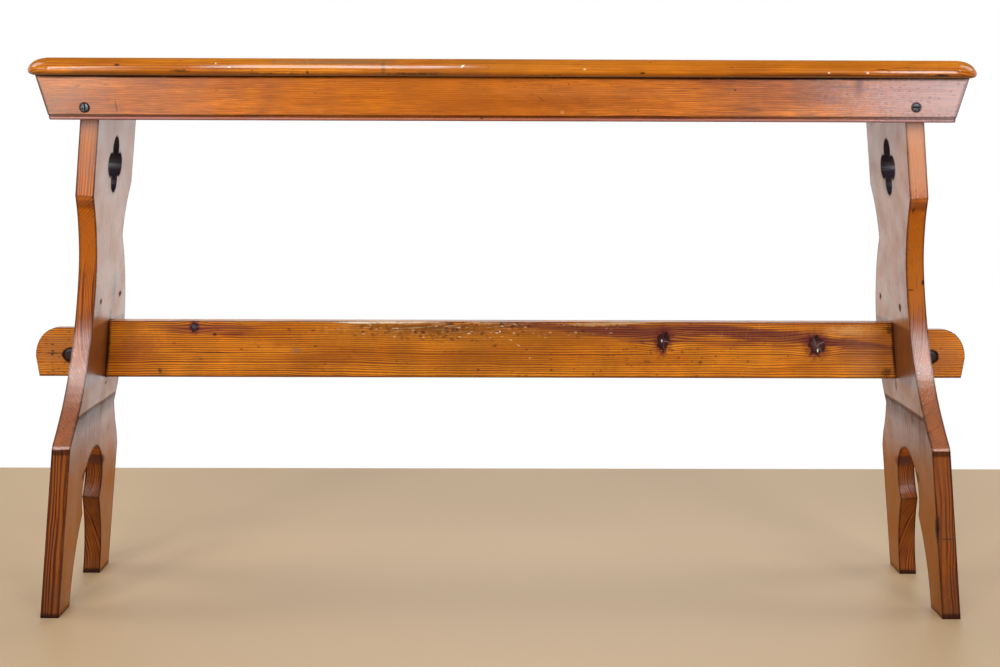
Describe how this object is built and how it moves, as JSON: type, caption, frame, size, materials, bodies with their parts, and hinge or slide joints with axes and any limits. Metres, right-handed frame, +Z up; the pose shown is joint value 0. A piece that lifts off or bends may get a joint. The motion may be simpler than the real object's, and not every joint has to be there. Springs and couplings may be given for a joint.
{
  "type": "organ bench",
  "caption": "Long pine bench for an organist: a board seat with aprons on splayed, shaped end panels, tied by a stretcher with pegged through tenons.",
  "frame": {"origin": "on the floor, under the middle of the bench", "axes": "+Z up; X along the bench, from its left end to its right; the front with the beaded apron faces -Y"},
  "size_m": [1.1406, 0.2456, 0.6395],
  "materials": {
    "seat pine": "old pine under glossy amber varnish",
    "varnished pine": "old pine under glossy amber varnish",
    "panel pine": "old pine under glossy amber varnish",
    "bare pine": "unfinished pine",
    "dark peg": "dark stained end grain",
    "dark steel": "darkened steel screw"
  },
  "bodies": {
    "root": {"seat_board": "seat pine", "front_apron": "varnished pine", "rear_apron": "varnished pine", "left_end_panel": "panel pine", "right_end_panel": "panel pine", "stretcher": "varnished pine", "left_peg": "dark peg", "right_peg": "dark peg", "front_apron_left_screw": "dark steel", "front_apron_right_screw": "dark steel", "rear_apron_left_screw": "dark steel", "rear_apron_right_screw": "dark steel", "left_cleat": "bare pine", "right_cleat": "bare pine", "left_cleat_front_side_screw": "dark steel", "left_cleat_front_seat_screw": "dark steel", "left_cleat_rear_side_screw": "dark steel", "left_cleat_rear_seat_screw": "dark steel", "right_cleat_front_side_screw": "dark steel", "right_cleat_front_seat_screw": "dark steel", "right_cleat_rear_side_screw": "dark steel", "right_cleat_rear_seat_screw": "dark steel", "front_left_glue_block": "bare pine", "front_right_glue_block": "bare pine", "rear_left_glue_block": "bare pine", "rear_right_glue_block": "bare pine"}
  },
  "joints": []
}
